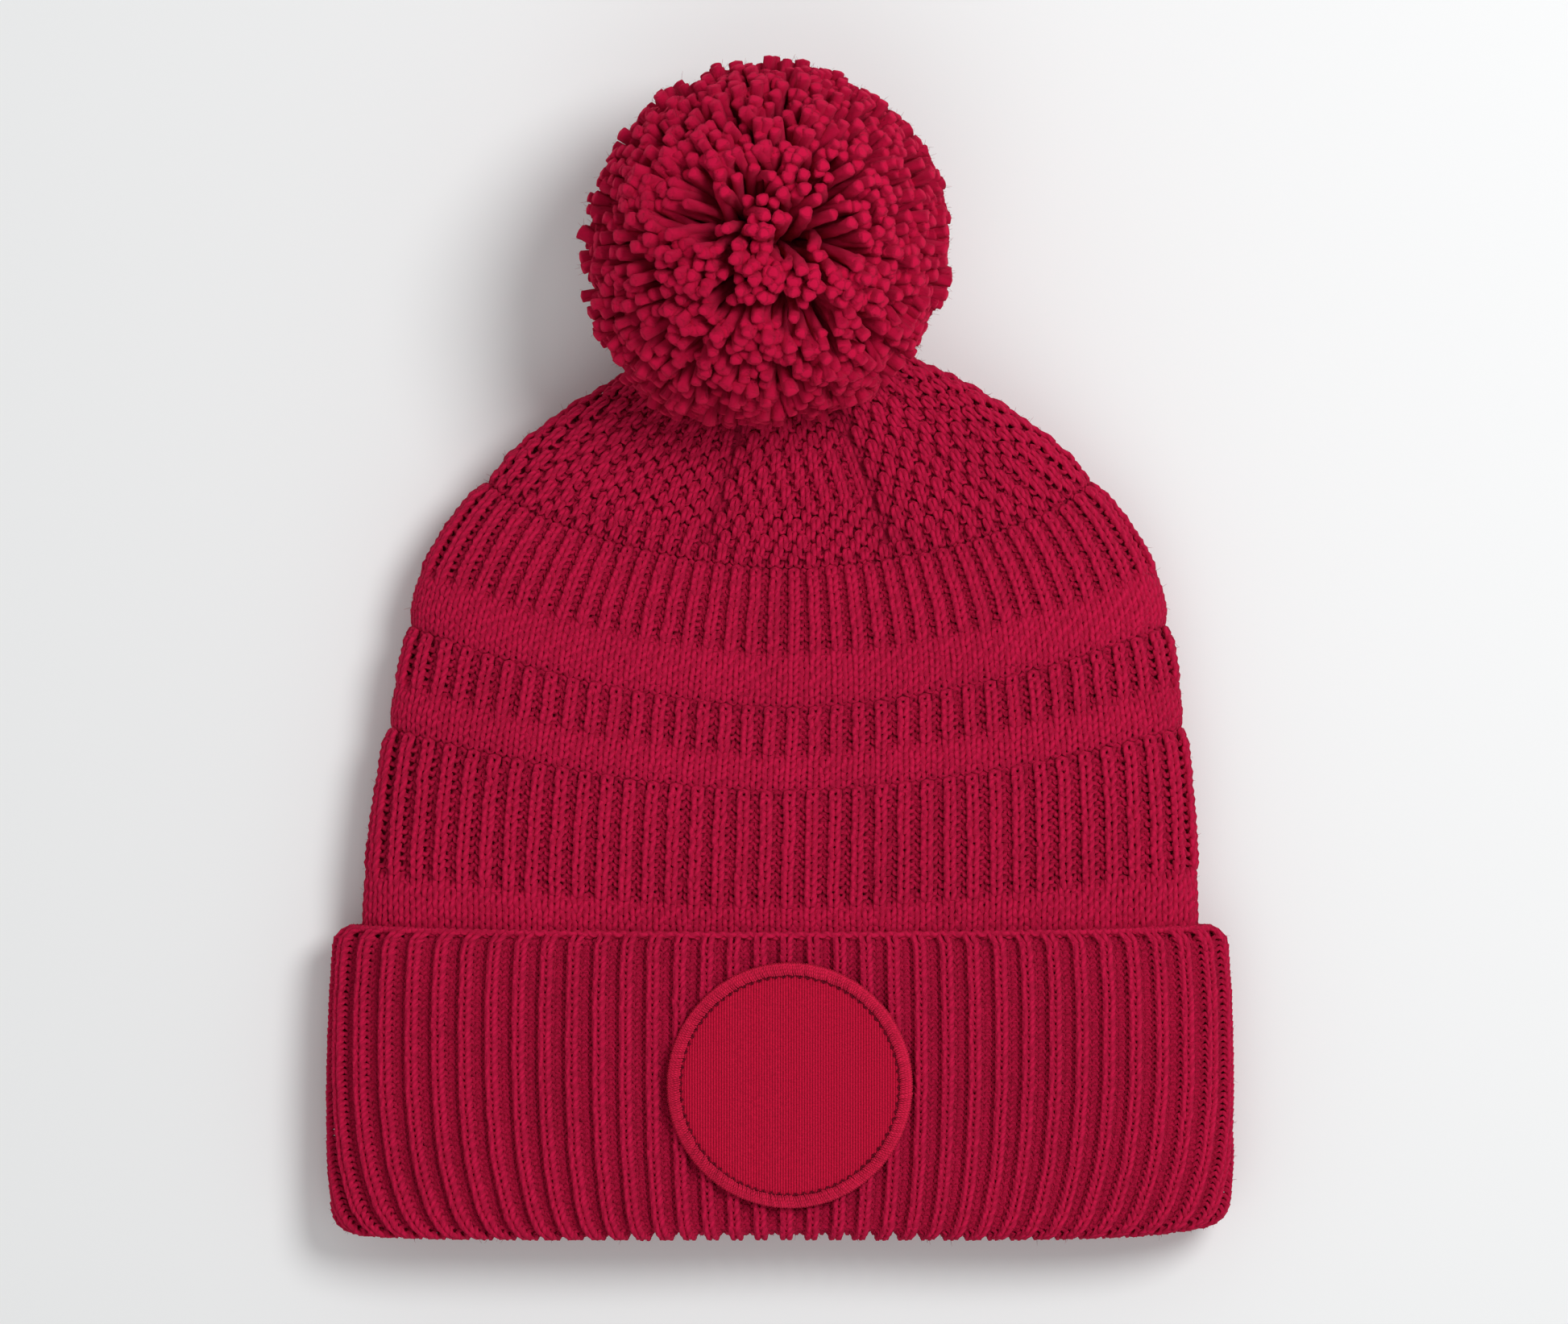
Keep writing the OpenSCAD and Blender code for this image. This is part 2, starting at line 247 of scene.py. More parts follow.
def paintMaterial(name, colour, roughness):
    material, tree, shader = newMaterial(name, roughness, 0.2)
    duller = tuple(c * 0.985 for c in colour[:3]) + (1,)
    mix = addNode(tree, "ShaderNodeMix", {"A": colour, "B": duller, "Factor": noise(tree, Scale=3.0)},
                  data_type="RGBA")
    tree.links.new(mix.outputs["Result"], shader.inputs["Base Color"])
    return material


# Spun yarn: plies that wind round it, fine fibres along it, and slow changes of tone. plyPitch is in mm.
def yarnMaterial(name, dark, light, plyPitch=2.6, plies=3, plyBump=0.5, fibreBump=0.3, sheen=0.1,
                 deepShade=0.8):
    material, tree, shader = newMaterial(name, 0.9, 0.08)
    run = addNode(tree, "ShaderNodeUVMap", {}, uv_map="yarnRun").outputs["UV"]
    parts = addNode(tree, "ShaderNodeSeparateXYZ", {"Vector": run}).outputs
    # a millimetre of yarn is 0.1 on the map
    wind = combine(tree, "MULTIPLY", parts["X"], 2 * math.pi * 10 / plyPitch)
    around = combine(tree, "MULTIPLY", parts["Y"], 2 * math.pi * plies)
    phase = combine(tree, "ADD", wind, around)
    wave = combine(tree, "MULTIPLY", combine(tree, "SINE", phase), 0.5)
    ply = combine(tree, "ADD", wave, 0.5)
    stretched = addNode(tree, "ShaderNodeCombineXYZ", {"X": combine(tree, "MULTIPLY", phase, 1.1),
                                                       "Y": combine(tree, "MULTIPLY", parts["X"], 3.0)})
    fibres = noise(tree, Vector=stretched.outputs[0], Scale=3.2, Detail=3.0, Roughness=0.7)
    patches = noise(tree, Vector=objectPlace(tree), Scale=55.0, Detail=2.0)
    # painted shade: the colour follows the ply wave that also makes the bump, darker between the plies; the
    # fibre and patch noise are tone that varies at random
    shade = weighted(tree, weighted(tree, ply, 0.45, fibres, 0.35), 1.0, patches, 0.4)
    height = weighted(tree, ply, plyBump, fibres, fibreBump)
    finishWith(tree, shader, rampBetween(tree, shade, 0.25, dark, 0.85, light), deepShade, height, 0.9)
    shader.inputs["Sheen Weight"].default_value = sheen
    shader.inputs["Sheen Roughness"].default_value = 0.5
    shader.inputs["Sheen Tint"].default_value = (1.0, 0.10, 0.20, 1)
    return material


# Close fabric: the patch's weave, and the backing that shows between the yarns or inside the hat. Where the
# depth attribute is set, painted shade darkens the colour down to 0.4 of it.
def clothMaterial(name, dark, light, scale):
    material, tree, shader = newMaterial(name, 0.95, 0.08)
    grain = noise(tree, Vector=objectPlace(tree), Scale=scale, Detail=2.0)
    finishWith(tree, shader, rampBetween(tree, grain, 0.35, dark, 0.7, light), 0.4, grain, 0.6)
    shader.inputs["Sheen Weight"].default_value = 0.05
    return material


crimson = {  # the dark and the light shade of each
    "knit": ((0.40, 0.006, 0.040), (0.60, 0.0085, 0.062)),
    "pom": ((0.47, 0.0040, 0.040), (0.60, 0.0050, 0.054)),
    # painted shade: the inside is darker than the knit, for the backing seen between the stitches and inside
    # the hat
    "inside": ((0.26, 0.005, 0.028), (0.40, 0.007, 0.042)),
    "border": ((0.55, 0.009, 0.048), (0.86, 0.016, 0.080)),
    "weave": ((0.52, 0.005, 0.038), (0.74, 0.008, 0.055)),
    "seam": ((0.10, 0.002, 0.01), (0.20, 0.004, 0.02)),
}
finish = {
    "bodyYarn": yarnMaterial("bodyYarn", *crimson["knit"]),
    "cuffYarn": yarnMaterial("cuffYarn", *crimson["knit"], plyPitch=2.4, deepShade=0.85),
    "pomYarn": yarnMaterial("pomYarn", *crimson["pom"], plyPitch=9.0, plyBump=1.0, fibreBump=0.9, sheen=0.2,
                            deepShade=1.0),
    "hatInside": clothMaterial("hatInside", *crimson["inside"], 900.0),
    "borderThread": yarnMaterial("borderThread", *crimson["border"], plyPitch=0.8, plies=2, sheen=0.2),
    "patchWeave": clothMaterial("patchWeave", *crimson["weave"], 2500.0),
    "seamThread": yarnMaterial("seamThread", *crimson["seam"], plyPitch=0.6, plies=2),
    "tieYarn": yarnMaterial("tieYarn", *crimson["pom"]),
}
print("finishes made")


# Camera, light and floor
studio = {
    "cameraHeight": 2.0,
    "aim": (0.9 * mm, -1.9 * mm),
    "viewWidth": 0.3892,
    "sensor": 36,
    "floorColour": (0.905, 0.915, 0.918, 1),
    "floorHalf": 3,
    "floorDrop": 0.3 * mm,
    "worldColour": (1.0, 1.0, 1.0, 1),
    "worldStrength": 0.45,
    "key": {"place": (0.50, 0.35, 1.05), "size": 0.50, "power": 7.7},
    "fill": {"place": (-0.1, -0.7, 1.2), "size": 1.2, "power": 2.2},
}


def makeCamera():
    data = bpy.data.cameras.new("overheadCamera")
    data.sensor_width = studio["sensor"]
    data.sensor_fit = "HORIZONTAL"
    data.lens = studio["sensor"] * (studio["cameraHeight"] - midZ) / studio["viewWidth"]
    data.clip_start = 0.05
    data.clip_end = 20
    camera = bpy.data.objects.new("overheadCamera", data)
    camera.location = (*studio["aim"], studio["cameraHeight"])
    bpy.context.scene.collection.objects.link(camera)
    bpy.context.scene.camera = camera


# A round soft lamp that points at the middle of the hat.
def makeLamp(name, place, size, power):
    data = bpy.data.lights.new(name, "AREA")
    data.shape = "DISK"
    data.size = size
    data.energy = power
    lamp = bpy.data.objects.new(name, data)
    lamp.location = place
    x, y, z = place
    lamp.rotation_euler = (math.atan2(math.hypot(x, y), z), 0, math.atan2(-y, -x) - math.pi / 2)
    lamp.visible_camera = False
    bpy.context.scene.collection.objects.link(lamp)


def makeStudio():
    makeCamera()
    makeLamp("keyLamp", **studio["key"])
    makeLamp("fillLamp", **studio["fill"])
    world = bpy.data.worlds.new("softRoom")
    world.use_nodes = True
    back = world.node_tree.nodes["Background"]
    back.inputs["Color"].default_value = studio["worldColour"]
    back.inputs["Strength"].default_value = studio["worldStrength"]
    bpy.context.scene.world = world
    bpy.context.scene.view_settings.view_transform = "Standard"
    corners = np.array([[-1, -1, 0], [1, -1, 0], [1, 1, 0], [-1, 1, 0]]) * studio["floorHalf"]
    floor = meshFromQuads("paleFloor", corners, np.array([[0, 1, 2, 3]]))
    floor.data.materials.append(paintMaterial("paleFloorPaint", studio["floorColour"], 0.9))
    floor.location.z = -studio["floorDrop"]


makeStudio()
print("studio set")


# The knitted tube's shape
# The same outline as the design: straight sides that narrow to a shoulder, then the crown curve.
hat = {
    "taper": 9.8 * mm,
    "taperBend": 1.8,
    "sideRoom": 4.6 * mm,
    "puff": 4 * mm,
    "crownHeight": 72 * mm,
    "crownRise": 10 * mm,
    "crownRound": 1.176,
    "crownClose": 1.31,
    "squareness": 8.0,
    "yarnInset": 1.25 * mm,
    "lean": 2.1 * mm,
    "leanFrom": -70 * mm,
    "leanOver": 85 * mm,
    "backFrom": 50 * mm,
    "backOver": 30 * mm,
    "ripple": 0.35 * mm,
}
joinY = bodyLow[1]
topY = boxOf("crown_front")[1][1]
bodyHalf = bodyHigh[0]
shoulderHalf = bodyHalf - hat["taper"]
bodyDeep = midZ - hat["sideRoom"]
shoulderDeep = bodyDeep + hat["puff"]
gatherRadius = (gatherHigh[0] - gatherLow[0]) / 2 + 0.2 * mm
topAngle = math.acos((gatherRadius / shoulderHalf) ** (1 / hat["crownClose"]))
thinClose = math.log(gatherRadius / shoulderDeep) / math.log(math.cos(topAngle))
topRise = math.sin(topAngle) ** hat["crownRound"]
shoulderY = topY - hat["crownHeight"] * topRise


# Half the width, half the thickness, the middle's height and the squareness of the tube at y.
def tubeAt(y):
    climb = np.clip((y - shoulderY) / hat["crownHeight"], 0, topRise) ** (1 / hat["crownRound"])
    close = np.sqrt(1 - climb ** 2)
    share = np.clip((y - joinY) / (shoulderY - joinY), 0, 1)
    low = y < shoulderY
    halfLow = bodyHalf - hat["taper"] * share ** hat["taperBend"]
    deepLow = bodyDeep + hat["puff"] * np.sin(math.pi / 2 * np.minimum(1, share * 1.6))
    half = np.where(low, halfLow, shoulderHalf * close ** hat["crownClose"])
    deep = np.where(low, deepLow, shoulderDeep * close ** thinClose)
    centre = midZ + hat["crownRise"] * climb ** 3
    power = 2 + (hat["squareness"] - 2) * close
    return half, deep, centre, power


# Rows of knitting sag in the middle and rise to the sides, more so towards the crown.
rowShape = {
    "levels": np.array([-76.0, -70, -62.2, -34.6, -24.6, -14.0, 0.4, 20.0, 45.0, 62.0, 78.3]) * mm,
    "rises": np.array([1.0, 5.0, 9.0, 15.4, 18.0, 20.0, 20.5, 21.5, 20.5, 13.0, 0.6]) * mm,
    "bow": 1.7,
}


# Slow waves, so that no face of the hat is quite flat.
def waves(x, y):
    return hat["ripple"] * (np.sin(x * 61 + 1.3) * np.sin(y * 47 + 0.4) + 0.6 * np.sin(x * 113 - y * 71))


# The body and crown lean a little to the right of the cuff's middle, and the tip comes halfway back.
def leanAt(y):
    up = smooth(np.clip((y - hat["leanFrom"]) / hat["leanOver"], 0, 1))
    back = smooth(np.clip((y - hat["backFrom"]) / hat["backOver"], 0, 1))
    return hat["lean"] * (up - 0.5 * back)


def bodySurface(level, angle, inset=hat["yarnInset"]):
    across = np.abs(np.sin(angle))
    y = level + np.interp(level, rowShape["levels"], rowShape["rises"]) * across ** rowShape["bow"]
    y = np.minimum(y, topY - 0.2 * mm)
    half, deep, centre, power = tubeAt(y)
    half, deep = np.maximum(half - inset, 1 * mm), np.maximum(deep - inset, 1 * mm)
    x = half * np.sin(angle)
    drop = np.sqrt(np.maximum(0, 1 - across ** power))
    z = centre + deep * np.sign(np.cos(angle)) * drop + waves(x, y) * drop
    return np.stack([x + leanAt(y), y, z], -1)


# Knitting
# One row of yarn is a chain of loops: feet at the sides of each stitch, a head in its middle.
bodyLoop = {
    "yarn": 0.74 * mm,
    "depth": 0.38 * mm,
    "height": 0.85,
    "lean": 0.20,
    "spread": 0.0,
    "wobble": 1.0,
    "samples": 9,
    "face": 1,
}
mossLoop = {**bodyLoop, "yarn": 0.66 * mm, "height": 0.78, "lean": 0.15}
cuffLoop = {
    "yarn": 0.68 * mm,
    "depth": 0.34 * mm,
    "height": 0.95,
    "lean": 0.075,
    "spread": 0.05,
    "wobble": 0.6,
    "samples": 7,
    "face": -1,  # its rows run down the hat
}
groove = {"top": 0.35 * mm, "span": 1.7 * mm}  # painted shade: the yarn's colour darkens from this depth on, fully after the span


# Places on the fabric for shares of each row's length, each raised by its part of a row.
def rowPlaces(surface, rows, first, last, along, rises, face):
    angles = np.linspace(first, last, 1441)
    places = []
    for row, wanted, rise in zip(rows, along, rises):
        line = surface(row, angles)
        length = np.concatenate([[0], np.cumsum(np.linalg.norm(np.diff(line, axis=0), axis=1))])
        at = np.interp(wanted * length[-1], length, angles)
        step = 1e-3
        here = surface(row + rise, at)
        run = surface(row + rise, at + step) - surface(row + rise, at - step)
        climb = surface(row + rise + 0.05, at) - surface(row + rise - 0.05, at)
        places.append((here, unit(np.cross(run, climb)) * face))
    return places


# A value for each stitch, blended with its neighbour's over the outer parts of the stitch.
def eased(place, values, samples, closed):
    before = np.roll(values, 1) if closed else np.concatenate([values[:1], values[:-1]])
    after = np.roll(values, -1) if closed else np.concatenate([values[1:], values[-1:]])
    hold = smooth(np.clip(np.minimum(place, 1 - place) / 0.22, 0, 1))
    other = np.where(place < 0.5, np.repeat(before, samples), np.repeat(after, samples))
    return np.repeat(values, samples) * (0.5 + 0.5 * hold) + other * (0.5 - 0.5 * hold)


# Knits one band: kinds(row, stitch) is +1 for knit and -1 for purl, relief lifts it off the surface.
def knitBand(tubes, surface, rows, stitches, kinds, relief, loop, first=0.0, last=2 * math.pi, closed=True,
             widths=None, slide=None):
    samples, wobble = loop["samples"], loop["wobble"]
    place = (np.arange(stitches * samples) % samples + 0.5) / samples
    edges = np.concatenate([[0], np.cumsum(widths if widths is not None else np.ones(stitches))])
    edges = edges / edges[-1]
    wide = np.repeat(np.diff(edges), samples)
    start = np.repeat(edges[:-1], samples)
    sway = loop["lean"] * np.sin(4 * math.pi * place) - loop["spread"] * np.sin(2 * math.pi * place)
    alongs, rises, offs, signs = [], [], [], []
    for row in rows:
        jitter = np.repeat(rng.normal(0, 0.035, stitches) * wobble, samples)
        along = start + wide * (place + sway + jitter)
        alongs.append(along if slide is None else slide(row, along))
        kind = np.array([kinds(row, j) for j in range(stitches)], float)
        lift = np.array([relief(row, j) for j in range(stitches)], float)
        lift = lift + rng.normal(0, 0.06, stitches) * mm * wobble
        sign = eased(place, kind, samples, closed)
        signs.append(sign)
        tall = np.repeat(1 + rng.normal(0, 0.05, stitches) * wobble, samples)
        slip = np.repeat(rng.normal(0, 0.05, stitches) * wobble, samples)
        rises.append(-loop["height"] * np.cos(2 * math.pi * place) * tall + slip)
        offs.append(eased(place, lift, samples, closed) - sign * loop["depth"] * np.cos(4 * math.pi * place))
    places = rowPlaces(surface, rows, first, last, alongs, rises, loop["face"])
    outs = np.array([out for _, out in places])
    offs = np.array(offs)
    lines = np.array([here for here, _ in places]) + outs * offs[..., None]
    thick = np.full(lines.shape[:2], loop["yarn"])
    uneven = np.repeat(rng.normal(0, 0.04, (len(lines), stitches)), samples, axis=1)
    thick *= 1 + uneven + 0.06 * np.array(signs)
    if not closed:
        fromFirst = np.arange(lines.shape[1])
        thick = thick * np.minimum(1, np.minimum(fromFirst, fromFirst[::-1]) / 2 + 0.4)
    # painted shade: the lower the yarn lies, the darker its colour
    shade = np.clip((groove["top"] - offs) / groove["span"], 0, 1)
    tubes.add(lines, outs, thick, 6, closed=closed, depth=shade)


# The body
body = {
    "wales": 148,
    "knitWide": 1.10,
    "knitUp": 0.60 * mm,
    "purlDown": -1.15 * mm,
    "ribEnd": -0.55 * mm,
    "hole": -0.75 * mm,
    "crease": -1.75 * mm,
    "creaseRows": 0.75,
    "longBand": 12,
}
# Bands from the cuff to the crown: name, kind, level of its bottom and of its top, and its rows.
bands = [
    ("plain_band_low", "plain", -76.0 * mm, -62.2 * mm, 8),
    ("rib_band_wide", "rib", -62.2 * mm, -34.6 * mm, 15),
    ("plain_band_middle", "plain", -34.6 * mm, -24.6 * mm, 6),
    ("rib_band_narrow", "rib", -24.6 * mm, -14.0 * mm, 6),
    ("plain_band_high", "plain", -14.0 * mm, 0.4 * mm, 8),
    ("rib_band_high", "rib", 0.4 * mm, 20.0 * mm, 11),
]
moss = {
    "rows": 28,
    "rowPitch": 2.10 * mm,
    "wale": 2.33 * mm,
    "up": 0.60 * mm,
    "down": -0.85 * mm,
    "pairDip": 0.40 * mm,
    "sink": 0.7 * mm,
    "sinkRows": 2.5,
    "startDip": 0.7 * mm,
}
bandLevels = [np.linspace(low, high, count, endpoint=False) for _, _, low, high, count in bands]
mossLevels = bands[-1][3] + moss["rowPitch"] * np.arange(moss["rows"] + 1)
rowLevels = np.concatenate(bandLevels + [mossLevels])
rowNumbers = np.arange(len(rowLevels))


def levelOf(row):
    return np.interp(row + 0.5, rowNumbers, rowLevels)


def bodyRow(row, angle, inset=hat["yarnInset"]):
    return bodySurface(levelOf(row), angle, inset)


# The first row of a plain band is drawn into a crease, and long bands are made as two pieces.
def makeBodyBands():
    firstRow = 0
    made = []
    oddWales = np.arange(body["wales"]) % 2
    ribWidths = np.where(oddWales == 0, body["knitWide"], 2 - body["knitWide"])
    for name, kind, _, _, count in bands:
        rows = np.arange(firstRow, firstRow + count)
        lastRow = firstRow + count - 1

        def kinds(row, j):
            return 1.0 if kind == "plain" or j % 2 == 0 else -1.0

        def relief(row, j):
            if kind == "plain":
                sink = body["crease"] * math.exp(-(row - firstRow) / body["creaseRows"]) if firstRow else 0
                return sink + (body["hole"] if row == lastRow and j % 2 else 0)
            if j % 2 == 0:
                return body["knitUp"] + (body["ribEnd"] if row == lastRow else 0)
            return body["purlDown"] + (body["hole"] if row == firstRow else 0)

        parts = {name: rows}
        if count > body["longBand"]:
            parts = {name + "_lower": rows[:count // 2], name + "_upper": rows[count // 2:]}
        for part, partRows in parts.items():
            made.append((part, TubeSet()))
            knitBand(made[-1][1], bodyRow, partRows, body["wales"], kinds, relief, bodyLoop,
                     widths=ribWidths if kind == "rib" else None)
        firstRow += count
        print(name, "knitted")
    return made, firstRow


# The crown
# Darts divide it into sections; the front pair's half distance and shift are given at some levels.
darts = {
    "levels": np.array([20.0, 26.0, 56.0, 78.0]) * mm,
    "frontHalf": np.array([24.0, 21.5, 12.0, 3.0]) * mm,
    "frontShift": np.array([2.3, 2.2, 1.1, -0.5]) * mm,
    "valley": 1.5 * mm,
    "valleyWidth": 1.5 * mm,
    "slope": 1.7 * mm,
    "wedgeSlope": 0.1 * mm,
    "slopeWidth": 4.2 * mm,
    "puff": 0.7 * mm,
    "puffWidth": 8 * mm,
    "overlap": 0.5 * mm,
    "seamDeep": 2.3 * mm,
    "seamYarn": 0.95 * mm,
}
# The sections in order round the hat, with whether a groove runs along the first and the last side.
# The darts at the hat's sides have a seam but no groove.
crownSections = {
    "crown_front_moss": (True, True),
    "crown_front_right_moss": (True, False),
    "crown_back_right_moss": (False, True),
    "crown_back_moss": (True, True),
    "crown_back_left_moss": (True, False),
    "crown_front_left_moss": (False, True),
}


def dartAngles(level):
    half = tubeAt(np.array(level))[0] - hat["yarnInset"]
    reach = np.interp(level, darts["levels"], darts["frontHalf"])
    shift = np.interp(level, darts["levels"], darts["frontShift"])
    right = math.asin(min(0.8, (shift + reach) / half))
    left = math.asin(max(-0.8, (shift - reach) / half))
    return left, right


def makeCrown(firstRow):
    def kinds(row, j):
        return 1.0 if (j + int(row - firstRow) // 2) % 2 == 0 else -1.0

    def relief(row, j):
        lift = moss["up"] if kinds(row, j) > 0 else moss["down"]
        sink = moss["sink"] * math.exp(-(row - firstRow) / moss["sinkRows"])
        return lift - sink - (moss["pairDip"] if int(row - firstRow) % 2 == 0 else 0)

    def startRelief(row, j):
        return relief(row, j) - (moss["startDip"] if row == firstRow else 0)

    sections = {name: TubeSet() for name in ("moss_band_start", *crownSections)}
    knitBand(sections["moss_band_start"], bodyRow, np.arange(firstRow, firstRow + 2), body["wales"],
             kinds, startRelief, mossLoop)
    for row in range(firstRow + 2, firstRow + moss["rows"]):
        level = levelOf(row)
        left, right = dartAngles(level)
        cuts = [left, right, math.pi / 2, math.pi - right, math.pi - left, 1.5 * math.pi, 2 * math.pi + left]
        past = darts["overlap"] / tubeAt(np.array(level))[0]
        for (name, grooved), first, last in zip(crownSections.items(), cuts[:-1], cuts[1:]):
            first, last = first - past, last + past
            edge = bodyRow(row, np.linspace(first, last, 200))
            length = np.linalg.norm(np.diff(edge, axis=0), axis=1).sum()
            stitches = max(2, int(round(length / moss["wale"])))
            slope = darts["wedgeSlope"] if all(grooved) else darts["slope"]

            def grooveRelief(row, j, stitches=stitches, slope=slope, grooved=grooved):
                fromSides = (j + 0.5, stitches - j - 0.5)
                near = min(far for far, cut in zip(fromSides, grooved) if cut) * moss["wale"]
                dip = darts["valley"] * math.exp(-(near / darts["valleyWidth"]) ** 2)
                dip += slope * math.exp(-(near / darts["slopeWidth"]) ** 2)
                return relief(row, j) - dip + darts["puff"] * min(1.0, near / darts["puffWidth"])

            knitBand(sections[name], bodyRow, np.array([row]), stitches, kinds, grooveRelief, mossLoop,
                     first=first, last=last, closed=False)
    print("crown knitted")
    return sections


# A stitched line closes each dart at the bottom of its groove.
def makeDartLines(firstRow):
    tubes = TubeSet()
    rows = np.linspace(firstRow + 1.5, firstRow + moss["rows"] - 1, 90)
    cuts = np.array([dartAngles(level) for level in levelOf(rows)])
    side = np.full(len(rows), math.pi / 2)
    for angles in (cuts[:, 0], cuts[:, 1], math.pi - cuts[:, 0], math.pi - cuts[:, 1], side, 3 * side):
        line = bodyRow(rows, angles, hat["yarnInset"] + darts["seamDeep"])
        # painted shade: the seam yarn at the bottom of the groove is darkened, with depth 0.9
        tubes.add(line[None], upward, darts["seamYarn"], 8, depth=0.9)
    return tubes.piece("dart_lines")


# The cuff
cuff = {
    "ribs": 70,
    "ribWidths": [3.05, 1.72, 1.72],  # of each rib's knit stitch and its two purl stitches
    "knitUp": 0.0,
    "purlDown": -2.1 * mm,
    "inset": 1.25 * mm,
    "turn": 2.9 * mm,
    "rowPitch": 1.55 * mm,
    "insideRows": 16,
    "squareness": 9.0,
    "foldCorner": 8 * mm,
    "edgeCorner": 2.8 * mm,
    "cornerRise": 1.7 * mm,
    "cornerLean": 1.0 * mm,
    "cornerRun": 22 * mm,
    "sideSpread": 0.5 * mm,
    "levels": np.array([0.0, 8.0, 20.0, 38.0, 60.0, 75.2]) * mm,
    "narrower": np.array([2.2, 1.0, 0.2, 0.1, 0.7, 1.7]) * mm,
    "fan": 5.0 * mm,
    "fanLength": 11 * mm,
    "drift": 0.0165,
    "driftLength": 17 * mm,
    "scallop": 0.25 * mm,
    "edgeRise": 1.3 * mm,
    "edgeRiseLength": 15 * mm,
    "edgePast": 0.3 * mm,
    "edgeCord": 0.74 * mm,
    "edgeRipple": 0.22 * mm,
    "edgeTurns": ((-0.30, 0.7 * mm), (0.05, 1.7 * mm)),  # row and depth of each turn of the cast-on yarn
}
foldY, edgeY = cuffLow[1], cuffHigh[1]
cuffHalf, cuffDeep = cuffHigh[0], cuffHigh[2] - midZ
turnY = foldY + cuff["inset"] + cuff["turn"]
straight = edgeY + cuff["edgePast"] - turnY
turnLength = math.pi * cuff["turn"]
outerRows = int(straight / cuff["rowPitch"])
turnRows = int(round(turnLength / cuff["rowPitch"]))


# How much a rounded corner takes off, for a distance from its end.
def cornerCut(radius, far):
    return radius * (1 - np.sqrt(1 - np.clip(1 - far / radius, 0, 1) ** 2))


# Rows count from the free edge down the outside, round the fold and up the inside.
def cuffSurface(row, angle):
    down = row * cuff["rowPitch"]
    around = np.clip((down - straight) / turnLength, 0, 1) * math.pi
    inside = np.maximum(0, down - straight - turnLength)
    sides = cuff["edgeRise"] * np.sin(angle) ** 2 * np.exp(-down / cuff["edgeRiseLength"])
    outerY = edgeY + cuff["edgePast"] - down + sides
    y = np.where(down < straight, outerY, turnY - cuff["turn"] * np.sin(around) + inside)
    inset = cuff["inset"] + cuff["turn"] * (1 - np.cos(around))
    up = np.clip(y - foldY, 0, None)
    half = cuffHalf + cuff["sideSpread"] - np.interp(up, cuff["levels"], cuff["narrower"]) - inset
    half = half - 0.7 * cornerCut(cuff["foldCorner"], up) - cornerCut(cuff["edgeCorner"], edgeY - y + sides)
    across = np.abs(np.sin(angle))
    drop = np.sqrt(np.maximum(0, 1 - across ** cuff["squareness"]))
    fan = cuff["fan"] * np.exp(-down / cuff["fanLength"]) * across ** 3 * (1 - across ** 12)
    x = (half - fan) * np.sin(angle)
    scallop = cuff["scallop"] * np.sin(x * 90 + y * 60) * drop
    z = midZ + (cuffDeep - inset) * np.sign(np.cos(angle)) * drop + scallop
    corner = (cuff["cornerRise"] + cuff["cornerLean"] * np.sign(np.sin(angle))) * across ** 7
    return np.stack([x, y + corner * np.exp(-up / cuff["cornerRun"]), z], -1)


def makeCuff():
    names = ["cuff_rib_top", "cuff_rib_upper", "cuff_rib_middle", "cuff_rib_lower", "cuff_rib_bottom",
             "cuff_rib_fold", "cuff_rib_inside"]
    total = outerRows + turnRows + cuff["insideRows"]
    cuts = np.linspace(0, total, len(names) + 1).astype(int)

    def kinds(row, j):
        return 1.0 if j % 3 == 0 else -1.0

    def relief(row, j):
        return cuff["knitUp"] if j % 3 == 0 else cuff["purlDown"]

    # towards the fold the ribs drift round from the sides to the middle of the front
    def slide(row, along):
        up = max(0.0, straight - row * cuff["rowPitch"])
        side = np.sin(2 * math.pi * along)
        return along - cuff["drift"] * math.exp(-up / cuff["driftLength"]) * side * np.abs(side) ** 0.8

    made = []
    for name, low, high in zip(names, cuts[:-1], cuts[1:]):
        made.append((name, TubeSet()))
        knitBand(made[-1][1], cuffSurface, np.arange(low, high) + 0.5, 3 * cuff["ribs"], kinds, relief,
                 cuffLoop, widths=np.tile(cuff["ribWidths"], cuff["ribs"]), slide=slide)
    print("cuff knitted")
    return made


# The cast-on yarn runs round the free edge, just behind the tops of the ribs.
def makeCuffEdge():
    tubes = TubeSet()
    angles = np.linspace(0, 2 * math.pi, 1400, endpoint=False)
    for row, sink in cuff["edgeTurns"]:
        out = unit(np.stack([np.sin(angles) * 0.2, 0 * angles, np.cos(angles)], -1))
        ripple = cuff["edgeRipple"] * np.sin(angles * 3 * cuff["ribs"] + row * 9)
        line = cuffSurface(row, angles) - out * (sink + ripple)[:, None]
        line = line + np.array([0, 1, 0]) * ripple[:, None]
        tubes.add(line[None], out[None], cuff["edgeCord"], 8, closed=True)
    return tubes.piece("cuff_edge_cord")


# Backings: plain tubes of fabric behind the stitches
backing = {
    "bodyInset": 3.0 * mm,
    "outerSink": 2.6 * mm,  # how far behind the cuff's outside it runs up to the edge
    "innerSink": 3.1 * mm,  # and how far behind it runs back down
    "foldRoom": 0.2 * mm,
    "plyLap": 3,  # rows that the inner ply starts below the last knitted row
    "bodyRoundness": 0.95,  # once round a flattened tube, as a share of once round its box
    "cuffRoundness": 0.92,
    "crownExtra": 20 * mm,  # the crown is longer over its curve than it is high
}
plyFirst = outerRows + turnRows + cuff["insideRows"] - backing["plyLap"]
plyLast = (joinY - 1 * mm - turnY + straight + turnLength) / cuff["rowPitch"]


